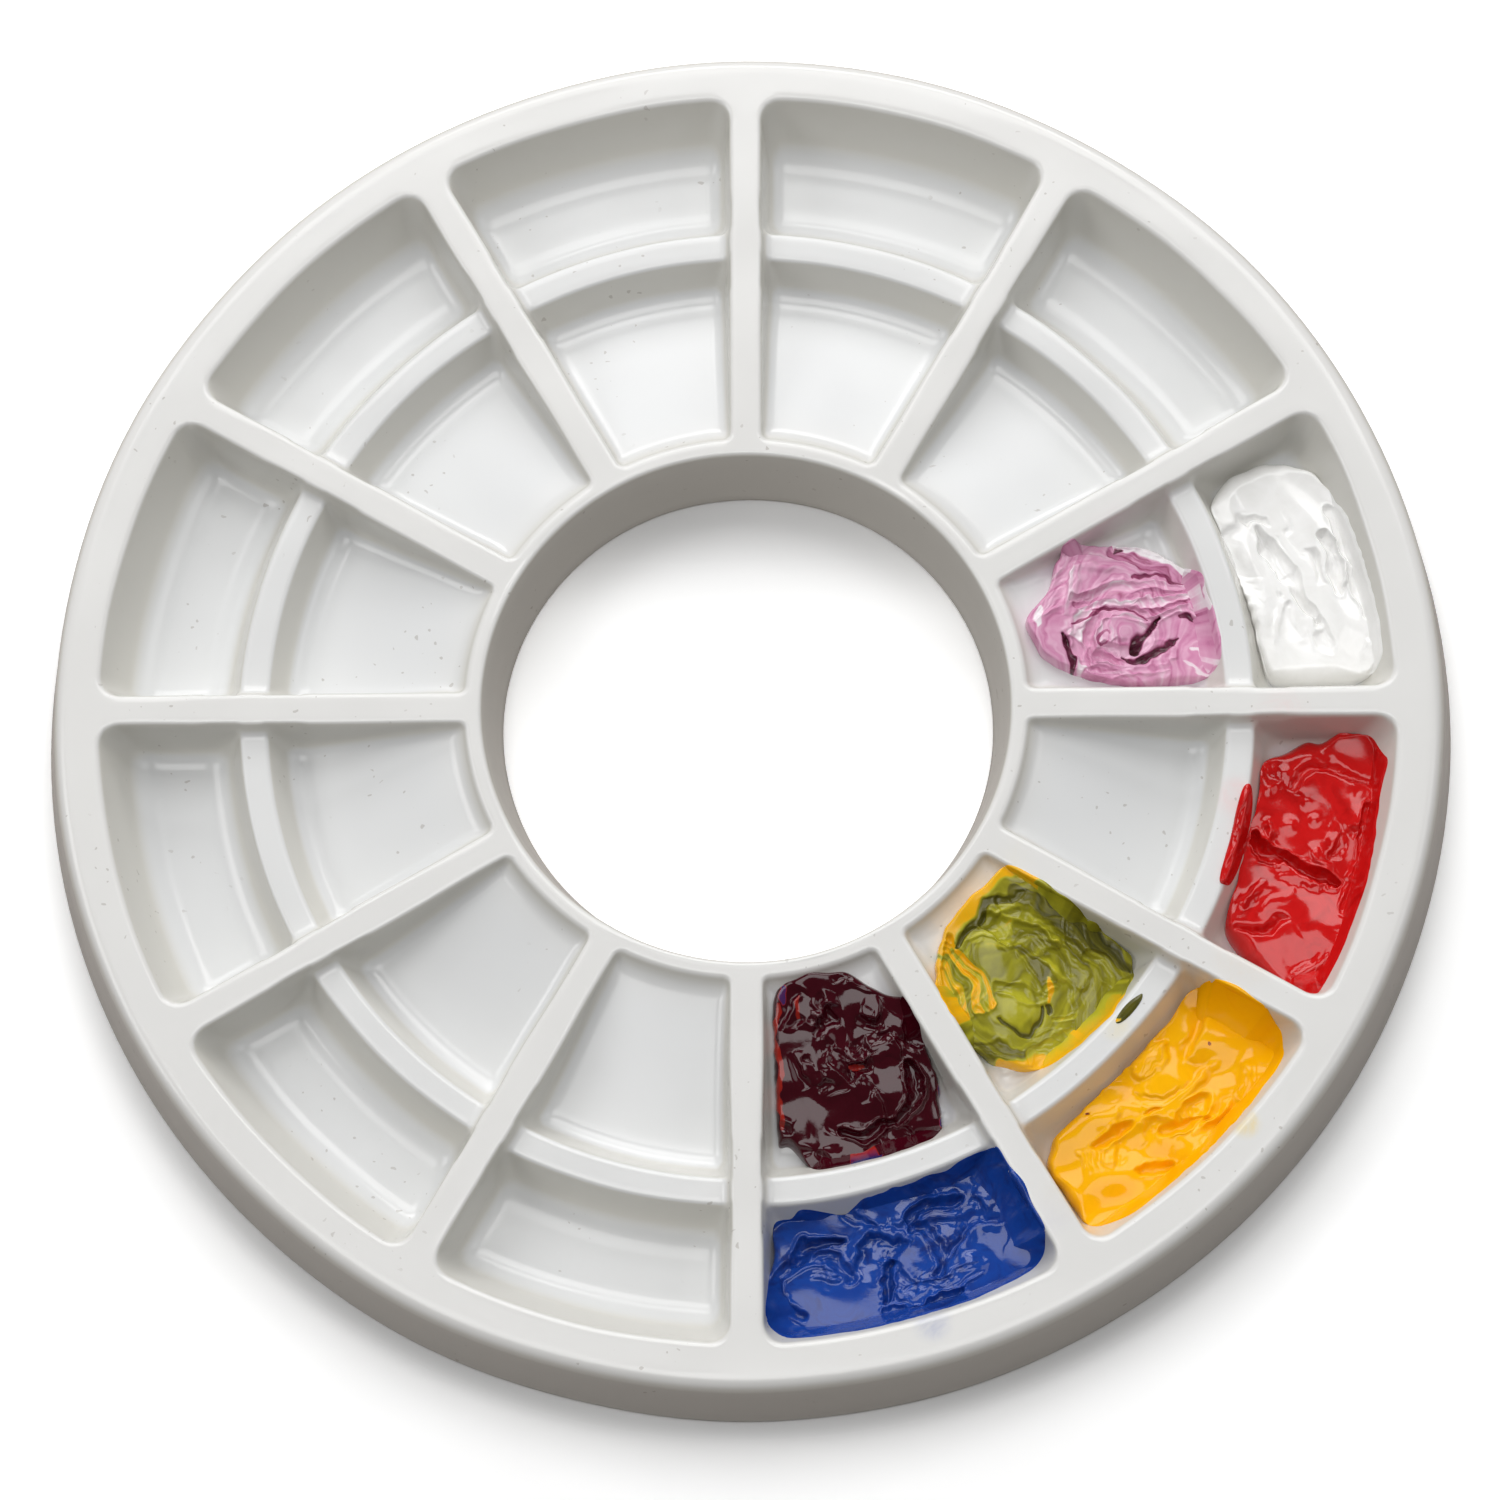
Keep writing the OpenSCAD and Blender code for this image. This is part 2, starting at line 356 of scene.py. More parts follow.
# Paint rubbed thinly on the porcelain: radius and angle, height and reach in millimetres, colour and strength.
STAINS = [
    ((100, 332), 12, 9, (0.80, 0.50, 0.22), 0.35), ((106, 302), 12, 8, (0.82, 0.58, 0.30), 0.25),
    ((117, 318.5), 17, 3.5, (0.86, 0.62, 0.10), 0.75), ((117.2, 286), 17, 4.5, (0.16, 0.22, 0.50), 0.45),
    ((96, 358.5), 15, 7, (0.86, 0.55, 0.55), 0.30), ((89, 349), 14, 5, (0.88, 0.50, 0.50), 0.35),
    ((67, 28.4), 14, 1.6, (0.30, 0.05, 0.08), 0.80), ((74, 27), 12, 8, (0.86, 0.66, 0.72), 0.30),
    ((108, 299.6), 12, 7, (0.45, 0.42, 0.62), 0.45), ((80, 298), 10, 7, (0.62, 0.52, 0.50), 0.35),
    ((56, 329), 13, 6, (0.80, 0.72, 0.45), 0.30), ((88, 318), 13, 4, (0.84, 0.72, 0.35), 0.35),
]


def porcelain():
    """White glaze: warmer and thinner over the rims, pooled and cooler in the wells, bare at the foot, with painted
    shade on its steep walls.
    """
    n = Nodes("porcelain_glaze")
    height = n.split(n.place)[2]
    drift = n.noise(22, 3, 0.55)
    colour = n.mix(n.fit(height, 0.012, 0.0168), n.mix(drift, *POOLED), n.mix(drift, *THIN))
    for place, level, reach, tone, strength in STAINS:
        at = (*(polar([place])[0] * MM), level * MM)
        patchy = n.fit(n.noise(160, 4, 0.65, 1.0), 0.35, 0.7, 0.3, 1.0)
        share = n.math("MULTIPLY", n.near(at, reach * MM), n.math("MULTIPLY", patchy, strength))
        colour = n.mix(share, colour, tone)
    # Painted shade: the steeper a surface, the more its colour turns to the darker steep-wall grey.
    steep_shade = n.fit(n.split(n.facing())[2], 0.50, 0.85, 1.0, 0.0)
    colour = n.mix(n.math("MULTIPLY", steep_shade, 0.9), colour, STEEP_SHADE)
    pits = n.math("MULTIPLY", n.fit(n.noise(900, 0, 0.5), 0.80, 0.83), n.fit(n.noise(35, 1, 0.5), 0.5, 0.6))
    colour = n.mix(n.math("MULTIPLY", pits, 0.4), colour, PIT)
    bare = n.fit(height, 0.0003, 0.0009, 1.0, 0.0)
    colour = n.mix(bare, colour, n.mix(n.noise(240, 4, 0.6), *BARE))
    gloss = n.fit(n.noise(48, 4, 0.6), 0.3, 0.7, 0.14, 0.24)
    n.set(Base_Color=colour, Roughness=n.math("ADD", gloss, n.math("MULTIPLY", bare, 0.5)), IOR=1.5)
    ripple = n.bump(n.noise(70, 2, 0.4), 0.00018, 0.35)
    n.set(Normal=n.bump(n.noise(900, 2, 0.5), 0.00002, 0.15, ripple))
    return n.mat


# ---------------------------------------------------------------- paint


def polar(points):
    """Plan positions in millimetres from (radius, degrees) pairs."""
    return np.array([(r * cos(a), r * sin(a)) for r, a in points])


def curve(points, closed=False, per=12):
    """Smooth curve through plan points."""
    p = np.asarray(points, float)
    n = len(p)
    out = []
    for i in range(n if closed else n - 1):
        if closed:
            a, b, c, d = p[(i - 1) % n], p[i], p[(i + 1) % n], p[(i + 2) % n]
        else:
            a, b, c, d = p[max(i - 1, 0)], p[i], p[i + 1], p[min(i + 2, n - 1)]
        for t in np.linspace(0, 1, per, endpoint=False):
            out.append(0.5 * (2 * b + (c - a) * t + (2 * a - 5 * b + 4 * c - d) * t * t
                              + (3 * b - a - 3 * c + d) * t ** 3))
    if not closed:
        out.append(p[-1])
    return np.array(out)


def beside(path, x, y):
    """Signed distance from a path, positive on its left, and the share of its length at the nearest point."""
    best = np.full_like(x, 1e9)
    side, share = np.zeros_like(x), np.zeros_like(x)
    steps = np.hypot(*np.diff(path, axis=0).T)
    done = np.concatenate([[0], np.cumsum(steps)])
    for (ax, ay), (bx, by), l, s in zip(path[:-1], path[1:], steps, done):
        ux, uy = (bx - ax) / l, (by - ay) / l
        t = np.clip((x - ax) * ux + (y - ay) * uy, 0, l)
        dx, dy = x - ax - t * ux, y - ay - t * uy
        d = np.hypot(dx, dy)
        new = d < best
        best = np.where(new, d, best)
        side = np.where(new, np.sign(ux * dy - uy * dx), side)
        share = np.where(new, (s + t) / done[-1], share)
    return side * best, share


class Pile:
    """A dab of paint: a relief over the ring's surface inside a smooth outline.

    Its grid runs round the outline and in to a centre. Strokes then shape its height z, and the tint that its material
    may turn into colour. Lengths are in millimetres.
    """

    FILM = 0.35  # thinnest paint, a little inside the outline
    SINK = 0.4  # depth of its underside below the porcelain's surface
    BLEND = 4.0  # sharpness of the join between the strokes and the rounded skirt

    def __init__(self, outline, centre, level, seed, rim=2.5, thick=6.0, around=560, across=120, ragged=0.008):
        self.rng = np.random.default_rng(seed)
        self.centre = polar([centre])[0]
        edge = curve(polar(outline), closed=True) - self.centre
        ang, rad = np.arctan2(edge[:, 1], edge[:, 0]), np.hypot(edge[:, 0], edge[:, 1])
        order = np.argsort(ang)
        phi = np.linspace(-math.pi, math.pi, around, endpoint=False)
        reach = np.interp(phi, ang[order], rad[order], period=2 * math.pi)
        reach = reach * (1 + ragged * waves(np.cos(phi) * 20, np.sin(phi) * 20, seed, 2.5, 9))
        s = np.linspace(0, 1, across + 1)[1:]
        share = s + 0.12 * np.sin(math.pi * s)
        self.x = self.centre[0] + np.outer(share, reach * np.cos(phi))
        self.y = self.centre[1] + np.outer(share, reach * np.sin(phi))
        self.base = top_height(self.x, self.y)
        self.gap = self.edge_distance()
        self.rim, self.thick = rim, thick
        # places as the strokes see them, pulled about a little so that no edge runs quite true
        pull = [0.55 * waves(self.x, self.y, seed + k, 5, 12) + 0.16 * waves(self.x, self.y, seed + k + 2, 1.6, 4)
                for k in (101, 102)]
        self.wx, self.wy = self.x + pull[0], self.y + pull[1]
        self.z = level(self.x, self.y)
        self.calm = self.z.copy()
        self.tint = np.zeros_like(self.x)

    def edge_distance(self):
        """Distance of every grid point from the outline."""
        ex, ey = self.x[-1], self.y[-1]
        gap = np.empty_like(self.x)
        for i in range(len(self.x)):
            gap[i] = np.sqrt((self.x[i][:, None] - ex) ** 2 + (self.y[i][:, None] - ey) ** 2).min(1)
        return gap

    def furrow(self, path, width, depth, lip=0.25, wipe=0.85, sharp=0.3, tint=None):
        """A brush's or knife's pass along a path: a shallow trough with lips of pushed-up paint."""
        d, share = beside(path, self.wx, self.wy)
        w = width * (0.55 + 0.45 * np.sin(math.pi * np.clip(share, 0.02, 0.98)) ** 0.5)
        inside = 1 - smooth(np.abs(d), w * 0.8, w)
        mean = np.average(self.z, weights=inside + 1e-9)
        self.z = self.z + inside * wipe * (mean - self.z) * 0.35
        self.z += depth * inside * (1 - np.clip(d / w, -1, 1) ** 2)
        ends = smooth(share, 0, 0.12) * (1 - smooth(share, 0.88, 1))
        self.z += lip * np.exp(-((np.abs(d) - w) / sharp) ** 2) * (0.35 + 0.65 * ends)
        self.z += 0.035 * inside * np.sin(d * 9.0 + 2 * np.sin(share * 5)) * ends
        if tint is not None:
            self.tint = self.tint * (1 - inside) + tint * inside

    def ridge(self, path, width, height, steep=1.0):
        """A raised line of paint; steep over 1 makes its left side the sharper one."""
        d, share = beside(path, self.wx, self.wy)
        w = np.where(d > 0, width / steep, width)
        ends = np.sqrt(np.clip(np.sin(math.pi * np.clip(share, 0.02, 0.98)), 0, 1))
        self.z += height * np.exp(-(d / w) ** 2) * ends

    def mound(self, at, size, height):
        """A round swelling, or a dimple where height is negative."""
        cx, cy = polar([at])[0]
        self.z += height * np.exp(-((self.x - cx) ** 2 + (self.y - cy) ** 2) / size ** 2)

    def fold(self, path, height, reach=2.5, under=0.5, edge=0.3, tint=None):
        """A lip of paint standing on the path's left, steep at the path, over a shadowed hollow on its right."""
        d, share = beside(path, self.wx, self.wy)
        ends = np.sqrt(np.clip(np.sin(math.pi * share), 0, 1))
        lift = smooth(d, -edge, edge) * np.exp(-np.maximum(d, 0) / reach)
        self.z += ends * (height * lift - under * np.exp(-((d + edge + 0.5) / 0.8) ** 2))
        if tint is not None:
            mask = ends * smooth(d, -edge, edge) * (1 - smooth(d, reach * 0.5, reach))
            self.tint += (tint - self.tint) * mask

    def stain(self, path, width, tint, soft=0.35, depth=0.0):
        """Colour drawn along a path, pressed in by depth."""
        d, share = beside(path, self.wx, self.wy)
        w = width * (0.35 + 0.65 * np.sqrt(np.clip(np.sin(math.pi * np.clip(share, 0.03, 0.97)), 0, 1)))
        mask = 1 - smooth(np.abs(d), w * (1 - soft), w)
        self.tint += (tint - self.tint) * mask
        self.z += depth * mask

    def random_folds(self, count, lengths, heights, reaches, heading, spread=0.5, bend=0.16, tints=None):
        """Overlapping lips in seeded places, curved, along a heading given as a function of place."""
        for _ in range(count):
            path = self.random_path(lengths, heading, spread, bend)
            tint = None if tints is None else self.rng.choice(tints)
            self.fold(path, self.rng.uniform(*heights), self.rng.uniform(*reaches), self.rng.uniform(0.1, 0.5),
                      tint=tint)

    def random_path(self, lengths, heading, spread, bend):
        """A curved path in a seeded place."""
        k = self.rng.integers(self.x.size)
        px, py = self.x.flat[k], self.y.flat[k]
        a = heading(px, py) + self.rng.normal(0, spread)
        bend, length = self.rng.normal(0, bend), self.rng.uniform(*lengths)
        ts = np.linspace(-0.5, 0.5, 9) * length
        steps = np.array([(math.cos(a + bend * t), math.sin(a + bend * t)) for t in ts])
        return np.array([px, py]) + np.cumsum(steps, 0) * length / 9 - steps.mean(0) * length / 2

    def random_furrows(self, count, lengths, widths, depth, lip, heading, spread=0.5, tints=None):
        """Overlapping passes in seeded places, along a heading given as a function of place."""
        for _ in range(count):
            path = self.random_path(lengths, heading, spread, 0.08)
            sign = -1 if self.rng.random() < 0.65 else 0.6
            tint = None if tints is None else self.rng.choice(tints)
            self.furrow(path, self.rng.uniform(*widths), sign * depth, lip * self.rng.uniform(0.5, 1.3), tint=tint)

    def streaks(self, at, pitch, amount, relief):
        """Fine rings of colour and relief left by stirring round a place."""
        cx, cy = polar([at])[0]
        rho = np.hypot(self.wx - cx, self.wy - cy) + 1.3 * waves(self.x, self.y, 77, 7, 18)
        for share, k in ((1.0, 1.0), (0.6, 2.3), (0.35, 4.1)):
            wave = np.sin(2 * math.pi * k * rho / pitch + 2.0 * waves(self.x, self.y, 78, 4, 14))
            self.tint += amount * share * wave
            self.z += relief * share * wave / k

    def relax(self, times, relief=1.0):
        """Scale the relief, then let the wet paint settle, rounding its sharpest edges."""
        self.z = self.calm + relief * (self.z - self.calm)
        for _ in range(times):
            z = self.z
            side = (np.roll(z, 1, 1) + np.roll(z, -1, 1)) / 2
            along_ray = z.copy()
            along_ray[1:-1] = (z[:-2] + z[2:]) / 2
            self.z = 0.4 * z + 0.3 * side + 0.3 * along_ray

    def surface(self):
        """Height of the finished paint: the strokes, inside a skirt that rounds down to the outline."""
        grow = np.clip(self.gap / self.rim, 0, 1)
        skirt = self.base + self.thick * np.sqrt(np.maximum(1 - (1 - grow) ** 2, 0))
        film = self.base + self.FILM * np.clip(self.gap / 0.5, 0, 1)
        z = np.maximum(-np.logaddexp(-self.z * self.BLEND, -skirt * self.BLEND) / self.BLEND, film)
        z[-1] = self.base[-1] + 0.02
        return z

    def build(self, name, mat, node):
        """The closed piece, in place of a CAD node."""
        z = self.surface()
        rows, cols = self.x.shape
        top = np.stack([self.x, self.y, z], 2).reshape(-1, 3)
        peak = np.array([[*self.centre, z[0].mean()]])
        below = [rows - 1, rows // 2]
        under = np.concatenate([np.stack([self.x[i], self.y[i], self.base[i] - self.SINK], 1) for i in below])
        foot = np.array([[*self.centre, self.base[0].mean() - self.SINK]])
        verts = np.concatenate([top, peak, under, foot]) * MM
        # first vertices of the outline, the peak, the underside's two rows, and the foot
        e, c = (rows - 1) * cols, rows * cols
        u = c + 1
        f = u + len(under)
        faces = []
        for k in range(cols):
            l = (k + 1) % cols
            faces.append((c, k, l))
            for i in range(rows - 1):
                faces.append((i * cols + k, (i + 1) * cols + k, (i + 1) * cols + l, i * cols + l))
            faces.append((e + k, u + k, u + l, e + l))
            faces.append((u + k, u + cols + k, u + cols + l, u + l))
            faces.append((u + cols + k, f, u + cols + l))
        obj = link(name, verts, faces, mat)
        tint = np.concatenate([self.tint.ravel(), [self.tint[0].mean()], self.tint[below].ravel(), [0]])
        obj.data.attributes.new("tint", "FLOAT", "POINT").data.foreach_set("value", tint.astype(np.float32))
        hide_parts(node)


def flat_level(height, seed, rough):
    """Level for the outer wells, gently uneven."""
    return lambda x, y: height + rough * waves(x, y, seed, 9, 26)


def sloped_level(height, seed, rough=0.35):
    """Level parallel to the inner wells' sloping floor, height over it."""
    return lambda x, y: (INNER_LOW_Z + tan(INNER_SLOPE) * (INNER_LOW_R - np.hypot(x, y)) + height
                         + rough * waves(x, y, seed, 7, 20))


def wet_paint(name, colours, rough=0.09, mixed=0.0, shine=0.5):
    """Glossy oil paint. Its colour drifts between the given ones, or where it is mixed follows the piece's tint."""
    n = Nodes(name)
    drift = n.noise(150, 4, 0.6, 1.2)
    fine = n.noise(1500, 3, 0.6)
    last = len(colours) - 1
    if mixed:
        wander = n.math("MULTIPLY", n.math("SUBTRACT", drift, 0.5), mixed)
        grain = n.math("MULTIPLY", n.math("SUBTRACT", fine, 0.5), 0.08)
        tint = n.math("ADD", n.attribute("tint"), n.math("ADD", wander, grain))
        colour = n.ramp(tint, [(i / last, c) for i, c in enumerate(colours)])
    else:
        colour = n.ramp(drift, [(0.30 + 0.4 * i / last, c) for i, c in enumerate(colours)])
    n.set(Base_Color=colour, Roughness=n.fit(fine, 0.2, 0.8, rough * 0.8, rough * 1.4))
    n.set(Normal=n.bump(fine, 0.00004, 0.2), IOR=1.48, Specular_IOR_Level=shine)
    return n.mat


# ---------------------------------------------------------------- stage


# Paleness of the table as the camera sees it, and as it lights the ring, and half its width in metres.
TABLE_SEEN, TABLE_BOUNCE, TABLE_HALF = 1.26, (0.44, 0.40, 0.38), 8.0


def table_paint():
    """Pale table, with shadow painted into its colour where it meets the ring's outside on the near side, and inside
    the hole on the far side.
    """
    n = Nodes("table_white")
    seen = n.tree.nodes.new("ShaderNodeLightPath").outputs["Is Camera Ray"]
    y, r = n.split(n.place)[1], n.distance((0, 0, 0))
    # Painted shadow: the table is darkened beside the ring's foot on the near side, and over the hole's floor toward
    # the far side.
    nearness = n.fit(n.math("DIVIDE", y, r), -1.0, -0.1, 0.42, 0.04)
    contact = n.math("MULTIPLY", nearness, n.fit(r, 0.1275, 0.1330, 1.0, 0.0))
    outside = n.math("MULTIPLY", contact, n.fit(r, 0.048, 0.050))
    inside = n.math("MULTIPLY", n.fit(y, 0.020, 0.043, 0.0, 0.38), n.fit(r, 0.046, 0.048, 1.0, 0.0))
    shade = n.math("SUBTRACT", 1.0, n.math("ADD", outside, inside))
    grain = n.fit(n.noise(30, 3, 0.5), 0.3, 0.7, 0.99, 1.01)
    paleness = n.math("MULTIPLY", n.math("MULTIPLY", shade, grain), TABLE_SEEN)
    n.set(Base_Color=n.mix(seen, TABLE_BOUNCE, n.grey(paleness)), Roughness=1.0, Specular_IOR_Level=0.0)
    return n.mat


def build_stage():
    h = TABLE_HALF
    mesh = bpy.data.meshes.new("table_top")
    mesh.from_pydata([(-h, -h, 0), (h, -h, 0), (h, h, 0), (-h, h, 0)], [], [(0, 1, 2, 3)])
    mesh.materials.append(table_paint())
    obj = bpy.data.objects.new("table_top", mesh)
    bpy.context.scene.collection.objects.link(obj)


# Strength of the even light from all round, and the softboxes, LIGHT_DISTANCE metres away: name, azimuth and elevation
# in degrees, size in metres, power in watts.
SKY, LIGHT_DISTANCE = 0.074, 2.0
LIGHTS = [
    ("back_low", 90, 28, (1.6, 0.7), 16.4),
    ("back", 90, 55, (1.6, 0.8), 15.0),
    ("top", -90, 83, (1.4, 1.0), 12.9),
    ("left", 180, 40, (1.0, 0.8), 7.9),
    ("right", 0, 40, (1.0, 0.8), 3.5),
]


def area_light(name, azimuth, elevation, size, power):
    """Softbox aimed at the ring, its azimuth round +Z from +X."""
    light = bpy.data.lights.new(name, "AREA")
    light.shape, light.size, light.size_y = "RECTANGLE", size[0], size[1]
    light.energy = power
    obj = bpy.data.objects.new(name, light)
    away = Vector((cos(elevation) * cos(azimuth), cos(elevation) * sin(azimuth), sin(elevation)))
    obj.location = away * LIGHT_DISTANCE
    obj.rotation_euler = (-away).to_track_quat("-Z", "Y").to_euler()
    bpy.context.scene.collection.objects.link(obj)


def build_lights():
    world = bpy.data.worlds.new("studio")
    world.use_nodes = True
    sky = world.node_tree.nodes["Background"]
    sky.inputs["Color"].default_value = (1.0, 0.995, 0.985, 1)
    sky.inputs["Strength"].default_value = SKY
    bpy.context.scene.world = world
    for row in LIGHTS:
        area_light(*row)


# The camera stands over the near side and looks down at the ring, from a distance in metres to its top. Angles are in
# radians: its height over the table, its turn round the ring, and its own roll and tilt.
CAM_DISTANCE, CAM_ELEVATION, CAM_AZIMUTH = 1.22716, 1.2761, 0.0840
CAM_ROLL, CAM_TILT, CAM_LENS = -0.0889, 0.0066, 164.38


def build_camera():
    """Camera at the photo's viewing angle."""
    cam = bpy.data.cameras.new("camera")
    cam.lens, cam.sensor_width, cam.clip_end = CAM_LENS, 36.0, 60.0
    obj = bpy.data.objects.new("camera", cam)
    away = Vector((0, -math.cos(CAM_ELEVATION), math.sin(CAM_ELEVATION)))
    right = Vector((1, 0, 0))
    forward = -away
    up = right.cross(forward)
    rows = Matrix((right, -up, forward))
    rows = Matrix.Rotation(CAM_ROLL, 3, "Z") @ Matrix.Rotation(CAM_TILT, 3, "X") @ rows
    turn = Matrix.Rotation(CAM_AZIMUTH, 3, "Z")
    axes = [turn @ Vector(rows[0]), -(turn @ Vector(rows[1])), -(turn @ Vector(rows[2]))]
    place = turn @ (away * CAM_DISTANCE) + Vector((0, 0, RING_H * MM))
    obj.matrix_world = Matrix(axes).transposed().to_4x4()
    obj.matrix_world.translation = place
    bpy.context.scene.collection.objects.link(obj)
    bpy.context.scene.camera = obj


# ---------------------------------------------------------------- the dabs, from the photo


def swirl(at):
    """Heading that runs round a (radius, degrees) place."""
    cx, cy = polar([at])[0]
    return lambda x, y: math.atan2(y - cy, x - cx) + math.pi / 2


def along(degrees):
    """The same heading everywhere."""
    return lambda x, y: math.radians(degrees)


def line(*points):
    """Smooth path through (radius, degrees) places."""
    return curve(polar(points), per=6)


def oval(at, along_r, across, start, stop):
    """Path round an oval, its first axis pointing away from the ring's centre; angles in degrees."""
    centre = polar([at])[0]
    out = centre / np.hypot(*centre)
    side = np.array([-out[1], out[0]])
    turn = np.radians(np.linspace(start, stop, 25))[:, None]
    return centre + along_r * np.cos(turn) * out + across * np.sin(turn) * side


def make_white():
    """Thick white, domed at its far end, with a scooped trough and pinched ridges down its middle."""
    p = Pile([(92.8, 24.8), (96.5, 27), (103.6, 27.3), (107.7, 26.6), (110.5, 25.5), (112.3, 23.9), (113.8, 20.5),
              (114.6, 16.8), (114.9, 10.2), (114.9, 6), (114.2, 4.4), (112, 3.3), (105, 3.2), (98.5, 3.4), (95.2, 3.7),
              (93.6, 5.4), (93, 10.7), (92.6, 15.7), (91.9, 18), (92.3, 21.5)],
             (104, 15), flat_level(10.2, 11, 0.5), 12, rim=3.4)
    p.random_folds(7, (7, 14), (0.3, 0.7), (1.5, 3.5), along(100), 0.6)
    p.mound((101, 24.6), 5.5, 1.0)
    p.furrow(line((99, 20.5), (99.5, 18), (101.5, 14.5), (103.7, 10)), 2.0, -1.5, 0.3)
    p.fold(line((101.6, 19.6), (100, 21), (98.5, 21.4), (96.6, 21)), 1.0, 3, 1.3)
    p.ridge(line((102.5, 21), (103, 18), (104.8, 14.5), (106, 12.3)), 0.7, 1.3, 1.8)
    p.fold(line((107.2, 17), (107.6, 15), (107.4, 12.8)), 0.8, 1.5, 0.9)
    p.furrow(line((109.6, 17.5), (110, 15), (109.4, 12)), 1.9, -1.1, 0.5)
    p.ridge(oval((103.6, 9.2), 1.6, 1.4, 60, 330), 0.55, 0.9)
    p.mound((100.3, 13.6), 1.5, 1.2)
    p.ridge(line((100.5, 13.8), (98.6, 11), (96.5, 8)), 0.8, 0.7, 1.6)
    p.ridge(line((100.5, 13.8), (101.2, 11), (101, 8)), 0.7, 0.6)
    p.furrow(line((104, 9.6), (105, 8), (106, 6.4)), 2.2, -0.8, 0.35)
    p.furrow(line((112.3, 20), (113, 15), (113, 9)), 1.5, -0.4, 0.25)
    p.relax(2, 1.7)
    p.build("white_dab", wet_paint("white_oil", [(0.86, 0.855, 0.835), (0.93, 0.925, 0.915)], rough=0.12),
            "white_paint")


# Colours of the oils. Those of pink, olive and maroon run with the tint from 0 to 1.
RED = [(0.44, 0.004, 0.004), (0.60, 0.008, 0.008), (0.54, 0.006, 0.006)]


def make_red():
    """Red, with a dark crease across it and small glossy swellings over that."""
    p = Pile([(92.9, 350), (92.8, 353.5), (94, 355), (96, 355.9), (100.5, 357.2), (103.3, 357.2), (106.5, 357.9),
              (110, 357.9), (112.6, 357.2), (114.7, 355.6), (115.2, 354.6), (114.6, 352.5), (114.7, 348), (115, 345),
              (115.1, 341), (114.9, 336), (114.5, 333), (113.6, 331.9), (108, 332), (100, 333), (95, 334.5),
              (93.5, 336), (93, 340), (92.5, 345)],
             (104, 345), flat_level(9.5, 21, 0.5), 22, rim=3.2)
    p.random_folds(6, (6, 12), (0.3, 0.7), (1.2, 3.0), along(60), 0.9)
    p.fold(line((113.2, 353.2), (108, 353.3), (104.5, 354.3), (101.5, 353.5), (99.6, 351.6)), 1.1, 3.5, 0.9)
    for at, size in (((97, 353.3), 1.2), ((94.9, 351.3), 0.9), ((101.5, 355.2), 1.3), ((101.8, 350.5), 1.1),
                     ((103.5, 348.8), 0.9), ((107, 351.3), 1.2), ((99.5, 347.8), 1.1), ((107.5, 347), 1.2)):
        p.mound(at, size, 0.34)
    p.ridge(line((94.6, 347.3), (96.4, 346.8), (96.2, 345.6), (94.8, 345.5)), 0.6, 0.8)
    p.ridge(line((104.8, 346), (106.6, 344.9), (109, 343.6)), 0.8, 0.8)
    p.furrow(line((94, 345.7), (97, 344.6), (100, 344), (106, 343.3), (109.5, 343)), 1.6, -2.0, 0.35)
    p.ridge(line((99.5, 342.9), (103, 342.4), (107, 342.5)), 0.8, 0.9)
    p.furrow(line((113, 350.5), (113.3, 346), (113, 341)), 1.8, -0.25, 0.2, wipe=2.4)
    p.mound((113.6, 343.3), 0.6, -0.5)
    p.ridge(line((95, 338), (96.4, 339.4), (98, 341)), 0.8, 0.7)
    p.ridge(line((99.4, 338.4), (101, 339.6), (102.6, 341)), 0.8, 0.7)
    p.fold(line((105.4, 338), (102, 336.7), (99, 335.2), (95.4, 334.9)), 1.2, 3.0, 1.2)
    p.furrow(line((109, 333.4), (111, 334.6), (112.6, 336.2)), 1.6, 0.4, 0.2)
    p.relax(3, 1.35)
    p.build("red_dab", wet_paint("red_oil", RED), "red_paint")


